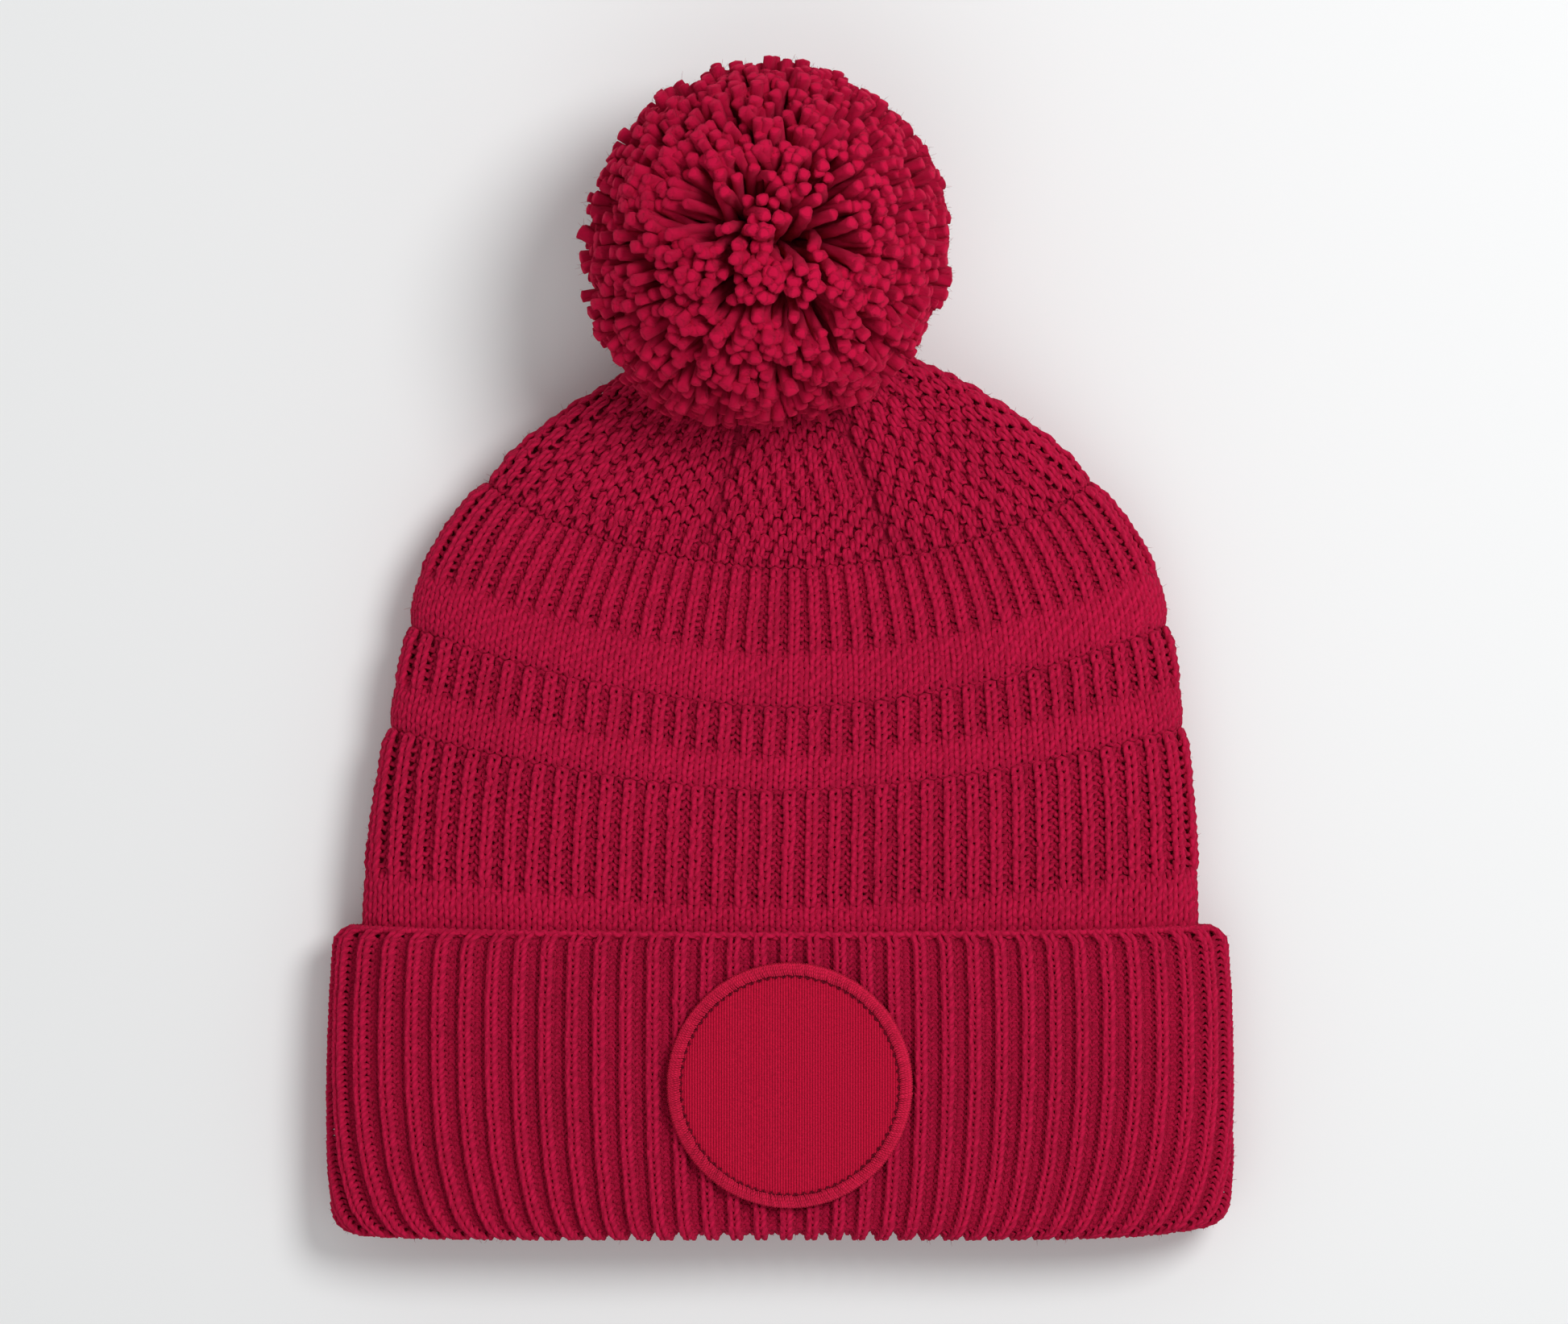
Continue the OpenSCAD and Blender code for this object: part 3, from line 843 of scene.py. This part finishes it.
def shellFrom(name, surface, rows, across=240):
    angles = np.arange(across) * 2 * math.pi / across
    grid = np.array([surface(row, angles) for row in rows])
    count = len(rows)
    index = np.arange(count * across).reshape(count, across)
    beside = np.roll(index, -1, 1)
    quads = np.stack([index[:-1], beside[:-1], beside[1:], index[1:]], -1).reshape(-1, 4)
    u = np.tile(np.arange(across) / across, (count - 1, 1))
    v = np.broadcast_to((np.arange(count - 1) / (count - 1))[:, None], u.shape)
    uEnd, vEnd = u + 0.96 / across, v + 0.96 / (count - 1)
    corners = ((u, v), (uEnd, v), (uEnd, vEnd), (u, vEnd))
    uv = np.stack([np.stack(corner, -1) for corner in corners], 2).reshape(-1, 2)
    return meshFromQuads(name, grid.reshape(-1, 3), quads, None, {"OFBake": uv})


# The cuff's inner ply runs up from behind its last knitted rows and goes on as the inside of the body.
def makeHatInside():
    def plyThenBody(place, angle):
        part, row = place
        return cuffSurface(row, angle) if part == "ply" else bodyRow(row, angle, backing["bodyInset"])

    ply = [("ply", row) for row in np.linspace(plyFirst, plyLast, 16)]
    inside = [("body", row) for row in np.linspace(0.6, len(rowNumbers) - 2, 60)]
    return shellFrom("hat_inside", plyThenBody, ply + inside)


# Behind the cuff's outside it runs from the fold to the free edge and back.
def makeCuffInside():
    def behind(place, angle):
        row, sink = place
        step = 1e-3
        run = cuffSurface(row, angle + step) - cuffSurface(row, angle - step)
        climb = cuffSurface(row - 0.2, angle) - cuffSurface(row + 0.2, angle)
        room = cuff["turn"] - backing["foldRoom"] if row > outerRows - 1 else sink
        return cuffSurface(row, angle) - unit(np.cross(run, climb)) * min(sink, room)

    outer = [(row, backing["outerSink"]) for row in np.linspace(outerRows + turnRows, 1.2, 40)]
    back = [(row, backing["innerSink"]) for row in np.linspace(0.8, outerRows - 2, 30)]
    return shellFrom("cuff_inside", behind, outer + back)


# The pom
pom = {
    "strands": 3100,
    "yarn": 1.52 * mm,
    "yarnSpread": 0.09,
    "steps": 10,
    "sides": 10,
    "twist": 0.72 / mm,
    "plyDepth": 0.13,
    "reach": 0.948,
    "lengthSpread": 0.036,
    "spread": 0.040,
    "clumping": 0.11,
    "bend": 2.6 * mm,
    "tipStray": 1.9 * mm,
    "rootHeight": 5 * mm,
    "rootStray": 1.6 * mm,
    "floorRoom": 1.9 * mm,
    "crownRoom": 2.4 * mm,
    "crushed": 13 * mm,
    "lowLeft": (-0.75, -0.66, -0.1),
    "lowLeftBulge": 0.09,
    "lowLeftWidth": 0.16,
    "cutEnd": ((0.16, 0.94), (0.24, 0.66)),  # reach past the strand's end and thickness, of the blunt cut
}
pomRadius = (pomHigh[0] - pomLow[0]) / 2
pomCentre = np.array([(pomLow[0] + pomHigh[0]) / 2, pomHigh[1] - pomRadius, pomHigh[2] - pomRadius])
# Where the strands part: a direction from the centre, its width, how far strands lean away, and its hollow.
partings = [
    ((-0.30, 0.126, 0.945), 0.30, 0.18, 0.11),
    ((0.13, -0.02, 0.99), 0.18, 0.10, 0.08),
    ((0.045, -0.41, 0.91), 0.15, 0.10, 0.08),
    ((-0.44, 0.31, 0.84), 0.20, 0.08, 0.05),
    ((0.09, 0.95, 0.31), 0.20, 0.14, 0.07),
    ((-0.78, 0.0, 0.63), 0.18, 0.10, 0.05),
    ((0.48, -0.06, 0.87), 0.16, 0.06, 0.04),
    ((0.30, 0.52, 0.80), 0.20, 0.06, 0.03),
    ((0.55, 0.60, -0.45), 0.28, 0.20, 0.08),
    ((-0.20, 0.62, -0.70), 0.30, 0.20, 0.09),
]


# A slow random push that gathers neighbouring strands into clumps.
def clumps(aim, size):
    push = np.zeros_like(aim)
    for _ in range(14):
        wave = rng.normal(0, 1, 3)
        wave = wave / np.linalg.norm(wave) * rng.uniform(8, 17)
        push += np.sin(aim @ wave + rng.uniform(0, 6.28))[:, None] * rng.normal(0, 1, 3)
    return push * size / 3.7


# Directions of the strands' tips and roots, spread evenly over a ball and then parted.
def pomAims():
    count = pom["strands"]
    i = np.arange(count) + 0.5
    tilt = np.arccos(1 - 2 * i / count)
    turn = math.pi * (1 + 5 ** 0.5) * i
    aim = np.stack([np.cos(turn) * np.sin(tilt), np.sin(turn) * np.sin(tilt), np.cos(tilt)], -1)
    aim = unit(aim + rng.normal(0, pom["spread"], (count, 3)) + clumps(aim, pom["clumping"]))
    root = aim.copy()
    hollow = np.zeros(count, bool)
    for direction, width, push, gone in partings:
        spot = unit(np.array(direction))
        gap = aim - spot
        apart = np.linalg.norm(gap, axis=1)
        hollow |= apart < gone * rng.uniform(0.7, 1.3, count)
        near = (np.exp(-(apart / width) ** 2) * rng.uniform(0.25, 1.25, count))[:, None]
        aim = unit(aim + unit(gap) * near * push)
        root = unit(root * (1 - 0.25 * near) + spot * 0.25 * near)
    return aim, root, hollow


# Strands lie over and under the crown and on the floor, and those with no room are left out.
def clearOfCrown(lines):
    x, y, z = lines[..., 0], lines[..., 1], lines[..., 2]
    half, deep, centre, power = tubeAt(y)
    across = np.abs(x - leanAt(y)) / np.maximum(half, 0.1 * mm)
    deep = deep * np.sqrt(1 - np.clip(across, 0, 1) ** power)
    over = (np.abs(x) < half) & (y < topY + 1 * mm)
    roof, cellar = centre + deep + pom["crownRoom"], centre - deep - pom["crownRoom"]
    inside = over & (z < roof) & (z > cellar)
    moved = np.where(inside, np.where(z > centre, roof, cellar), z)
    low = pom["floorRoom"]
    crushed = (np.abs(moved - z)[:, 3:] > pom["crushed"]).any(1)
    buried = ((moved < low * 0.4) & over).any(1)
    moved = np.where(moved < low, low + (low - moved) * 0.06, moved)
    return np.stack([x, y, moved], -1), ~crushed & ~buried


def makePom():
    aim, root, hollow = pomAims()
    count = len(aim)
    length = pomRadius * (pom["reach"] + np.clip(rng.normal(0, pom["lengthSpread"], count), -0.13, 0.07))
    bulge = np.exp(-((1 - aim @ unit(np.array(pom["lowLeft"]))) / pom["lowLeftWidth"]) ** 2)
    length = length * (1 + pom["lowLeftBulge"] * bulge)
    tip = aim * length[:, None] + np.cross(aim, rng.normal(0, 1, (count, 3))) * pom["tipStray"]
    start = root * pom["rootHeight"] + rng.normal(0, 1, (count, 3)) * pom["rootStray"]
    middle = root * (length * 0.66)[:, None] + rng.normal(0, 1, (count, 3)) * pom["bend"]
    t = np.linspace(0, 1, pom["steps"])[None, :, None]
    lines = start[:, None] * (1 - t) ** 2 + 2 * middle[:, None] * t * (1 - t) + tip[:, None] * t ** 2
    lines, fits = clearOfCrown(pomCentre + lines)
    lines = lines[fits & ~hollow]
    print("pom strands", len(lines))

    # the cut end is blunt, with a rounded rim
    run = unit(lines[:, -1] - lines[:, -2])
    yarn = pom["yarn"] * (1 + np.clip(rng.normal(0, pom["yarnSpread"], len(lines)), -0.2, 0.2))
    rims = [lines[:, -1] + run * (yarn * past)[:, None] for past, _ in pom["cutEnd"]]
    lines = np.concatenate([lines, np.stack(rims, 1)], 1)
    shape = 0.78 + 0.24 * np.linspace(0, 1, pom["steps"]) ** 1.4
    shape = np.concatenate([shape, [thickness for _, thickness in pom["cutEnd"]]])
    thick = yarn[:, None] * shape
    # rootShade is painted shade, darker towards the root; pomYarn's deepShade of 1.0 keeps it from showing
    rootShade = np.clip(1.0 - 1.3 * np.linspace(0, 1, len(shape)) ** 1.6, 0, 1)
    facing = unit(rng.normal(0, 1, (len(lines), 1, 3)))

    order = np.argsort(lines[:, -1, 2])
    names = ["pom_strands_back", "pom_strands_under", "pom_strands_low", "pom_strands_middle",
             "pom_strands_high", "pom_strands_top"]
    made = []
    for name, chosen in zip(names, np.array_split(order, len(names))):
        tubes = TubeSet()
        tubes.add(lines[chosen], facing[chosen], thick[chosen], pom["sides"], lobes=3, twist=pom["twist"],
                  lobeDepth=pom["plyDepth"], depth=rootShade)
        made.append((name, tubes))
    return made, lines, yarn


# Fine fibres that stand off the yarn: short curved hairs, three-sided.
fuzz = {
    "hair": 0.05 * mm,
    "knitLength": 1.4 * mm,
    "pomLength": 1.9 * mm,
    "bodyHairs": 7000,
    "crownHairs": 5000,
    "cuffHairs": 8000,
    "hairsPerStrand": 7,
}


def hairsFrom(name, roots, aims, length):
    count = len(roots)
    steps = np.array([0.0, 0.4, 0.75, 1.0])
    size = length * rng.uniform(0.5, 1.2, (count, 1, 1))
    aims = unit(aims + rng.normal(0, 0.35, (count, 3)))[:, None]
    curl = unit(rng.normal(0, 1, (count, 3)))[:, None]
    lines = roots[:, None] + size * (aims * steps[None, :, None] + 0.35 * curl * (steps ** 2)[None, :, None])
    lines[..., 2] = np.maximum(lines[..., 2], 0.1 * mm)
    tubes = TubeSet()
    tubes.add(lines, unit(np.cross(aims, curl)) + 0.01, fuzz["hair"] * (1 - 0.6 * steps), 3)
    return tubes.piece(name)


def knitFuzz(name, groups, count, yarn):
    lines = np.concatenate([line.reshape(-1, 3) for tubes in groups for line in tubes.lines])
    outs = np.concatenate([out.reshape(-1, 3) for tubes in groups for out in tubes.facing])
    picked = rng.integers(0, len(lines), count)
    aims = outs[picked] + rng.normal(0, 0.7, (count, 3))
    return hairsFrom(name, lines[picked] + unit(aims) * yarn * 0.8, aims, fuzz["knitLength"])


# Hairs near the cut end of each strand, on its side and on its rim.
def pomFuzz(name, lines, yarn):
    each = fuzz["hairsPerStrand"]
    runs, ends = np.repeat(unit(lines[:, -1] - lines[:, -4]), each, 0), np.repeat(lines[:, -1], each, 0)
    wide = np.repeat(yarn, each)[:, None]
    side = unit(np.cross(runs, rng.normal(0, 1, runs.shape)))
    back = rng.uniform(0, 1, (len(runs), 1)) ** 2 * 7 * mm
    rim = rng.uniform(0.3, 0.95, (len(runs), 1))
    roots = ends - runs * (back + 0.4 * wide) + side * wide * np.where(back > 0.8 * mm, 0.95, rim)
    return hairsFrom(name, roots, runs * 1.1 + side * 0.75, fuzz["pomLength"])


# The patch
patch = {
    "borderWide": 3.2 * mm,
    "ribPitch": 0.66 * mm,
    "ribHeight": 0.28 * mm,
    "weftPitch": 0.42 * mm,
    "weftHeight": 0.18,
    "sag": 0.22 * mm,
    "rimDip": 0.35 * mm,
    "threads": 310,
    "thread": 0.28 * mm,
    "threadRise": 1.05 * mm,
    "slant": 0.035,
    "stitches": 84,
    "stitch": 0.23 * mm,
    "zigzag": 0.95 * mm,
    "hiddenEdge": 0.9 * mm,  # of the woven face, under the border
}
patchCentre = (borderLow + borderHigh) / 2
patchRadius = (borderHigh[0] - borderLow[0]) / 2
innerRadius = patchRadius - patch["borderWide"]
faceZ = boxOf("patch_face")[1][2]


# Points round the patch's centre at a radius, an angle and a height.
def roundPatch(radial, around, z):
    x, y = patchCentre[0] + radial * np.cos(around), patchCentre[1] + radial * np.sin(around)
    return np.stack([x, y, z], -1)


def makePatchFace():
    radius = patchRadius - patch["borderWide"] * 0.75
    columns = int(2 * radius / patch["ribPitch"]) * 6 + 1
    rows = 150
    x, share = np.meshgrid(np.linspace(-1, 1, columns) * radius * 0.9999, np.linspace(-1, 1, rows))
    y = share * np.sqrt(np.maximum(radius ** 2 - x ** 2, 1e-12))
    rib = x / patch["ribPitch"]
    ridge = np.abs(np.cos(math.pi * rib)) ** 0.7
    weftTurn = 2 * math.pi * y / patch["weftPitch"] + math.pi * np.floor(rib + 0.5)
    weft = patch["weftHeight"] * np.cos(weftTurn)
    rim = np.clip((np.sqrt(x ** 2 + y ** 2) / radius - 0.9) / 0.1, 0, 1)
    sag = patch["sag"] * np.sin(x * 70 + 0.5) * np.cos(y * 60) - patch["rimDip"] * rim ** 2
    z = faceZ - 0.1 * mm + patch["ribHeight"] * (ridge + weft * ridge - 1) + sag
    points = np.stack([x + patchCentre[0], y + patchCentre[1], z], -1).reshape(-1, 3)
    index = np.arange(rows * columns).reshape(rows, columns)
    quads = np.stack([index[:-1, :-1], index[:-1, 1:], index[1:, 1:], index[1:, :-1]], -1).reshape(-1, 4)
    flat = np.stack([x, y], -1).reshape(-1, 2) / (2.02 * radius) + 0.5
    # painted shade: the grooves between the ribs are darkened through the depth attribute
    shade = np.clip(1.5 * (1 - ridge), 0, 1).ravel()
    return meshFromQuads("patch_weave", points, quads, None, {"OFBake": flat[quads.ravel()]}, shade)


# Satin threads wrap the rim side by side over a soft core.
def makePatchBorder():
    tubes = TubeSet()
    count = patch["threads"]
    middle = innerRadius + patch["borderWide"] / 2
    angle = np.arange(count) * 2 * math.pi / count + rng.normal(0, 0.0015, count)
    steps = np.linspace(0, 1, 9)
    ragged = rng.normal(0, 0.10, count) * mm
    radial = middle - np.cos(math.pi * steps) * (patch["borderWide"] / 2 - 0.15 * mm)
    radial = radial + ragged[:, None] * (1 - steps)
    lift = np.sin(math.pi * steps) ** 0.7 * patch["threadRise"] + rng.normal(0, 0.035, (count, 1)) * mm
    around = angle[:, None] + patch["slant"] * (steps - 0.5)
    lines = roundPatch(radial, around, faceZ - 0.30 * mm - steps ** 2 * 1.1 * mm + lift)
    up = np.array([0.0, 0.0, 1.0])
    # painted shade: each thread's colour is darkened by a random amount, standing in for the shade between
    # neighbouring threads
    tubes.add(lines, up, patch["thread"] * (1 + rng.normal(0, 0.10, (count, 1))), 6,
              depth=rng.uniform(0, 1, (count, 1)) ** 2)
    ring = np.linspace(0, 2 * math.pi, 240, endpoint=False)
    core = roundPatch(middle, ring, np.full(240, faceZ - 0.55 * mm))
    tubes.add(core[None], up, patch["borderWide"] / 2 - 0.2 * mm, 12, closed=True, flat=0.72)
    return tubes.piece("patch_border_threads")


# A fine zigzag just inside the border holds the patch down.
def makePatchStitches():
    tubes = TubeSet()
    count = patch["stitches"] * 2
    angle = np.arange(count) * 2 * math.pi / count
    zig = np.where(np.arange(count) % 2 == 0, 1, -1)[:, None]
    steps = np.linspace(-0.5, 0.5, 6)
    around = angle[:, None] + steps * 2 * math.pi / count
    radial = innerRadius - 0.05 * mm + zig * steps * patch["zigzag"]
    z = faceZ - 0.12 * mm + 0.2 * mm * np.cos(steps * math.pi) + 0 * radial
    tubes.add(roundPatch(radial, around, z), upward, patch["stitch"], 6)
    return tubes.piece("patch_stitch_line")


# Sewing it all together
# Gives a piece its finish, the body that it moves with, and the node that it shows instead of.
def dress(piece, material, bodyName, slotName, *nodes):
    piece.data.materials.append(finish[material])
    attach(piece, bodyName)
    if nodes:
        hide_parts(*nodes)
    return piece


bodyBands, nextRow = makeBodyBands()
for name, tubes in bodyBands:
    dress(tubes.piece(name), "bodyYarn", "hat", "body_yarn", "body_knit")
crown = makeCrown(nextRow)
for name, tubes in crown.items():
    node = "body_knit" if name == "moss_band_start" else name.replace("_moss", "")
    dress(tubes.piece(name), "bodyYarn", "hat", "body_yarn", node)
dress(makeDartLines(nextRow), "bodyYarn", "hat", "seam_thread", "dart_seams")
cuffBands = makeCuff()
for name, tubes in cuffBands:
    dress(tubes.piece(name), "cuffYarn", "hat", "cuff_yarn", "cuff_rib")
dress(makeCuffEdge(), "cuffYarn", "hat", "cuff_yarn")
hatInside = dress(makeHatInside(), "hatInside", "hat", "body_yarn")
cuffInside = dress(makeCuffInside(), "hatInside", "hat", "cuff_yarn")
strandGroups, strandLines, strandYarn = makePom()
for name, tubes in strandGroups:
    dress(tubes.piece(name), "pomYarn", "pom", "pom_yarn", "pom_yarn")
patchWeave = dress(makePatchFace(), "patchWeave", "hat", "patch_weave", "patch_face")
dress(makePatchBorder(), "borderThread", "hat", "border_thread", "patch_border")
dress(makePatchStitches(), "seamThread", "hat", "seam_thread", "patch_stitching")
print("pom and patch made")

fuzzJobs = (("body_fuzz", dict(bodyBands), fuzz["bodyHairs"], bodyLoop, "bodyYarn", "body_yarn"),
            ("crown_fuzz", crown, fuzz["crownHairs"], bodyLoop, "bodyYarn", "body_yarn"),
            ("cuff_fuzz", dict(cuffBands), fuzz["cuffHairs"], cuffLoop, "cuffYarn", "cuff_yarn"))
for name, groups, count, loop, material, slotName in fuzzJobs:
    dress(knitFuzz(name, list(groups.values()), count, loop["yarn"]), material, "hat", slotName)
for first, name in enumerate(("pom_fuzz_one", "pom_fuzz_two", "pom_fuzz_three")):
    dress(pomFuzz(name, strandLines[first::3], strandYarn[first::3]), "pomYarn", "pom", "pom_yarn")
print("fibres laid")

# The seam, the yarn in the crown, the patch's stiffener and the tie show as they were designed.
shownAsDesigned = {
    "back_seam": "seamThread",
    "gather_yarn": "tieYarn",
    "patch_backing": "hatInside",
    "pom_binding": "tieYarn",
    "pom_shank": "tieYarn",
    "tie_neck": "tieYarn",
    "tie_knot": "tieYarn",
}
for name, material in shownAsDesigned.items():
    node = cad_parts[name]
    node.data.materials.clear()
    node.data.materials.append(finish[material])

# The woven face is a disc, and each backing is a tube: once round, and as long as the knitting before it.
# the crown narrows, so less than the rectangle is cut; here the tube's half width and half thickness are
# found at 400 heights from the join to the top
halves, deeps = tubeAt(np.linspace(joinY, topY, 400))[:2]
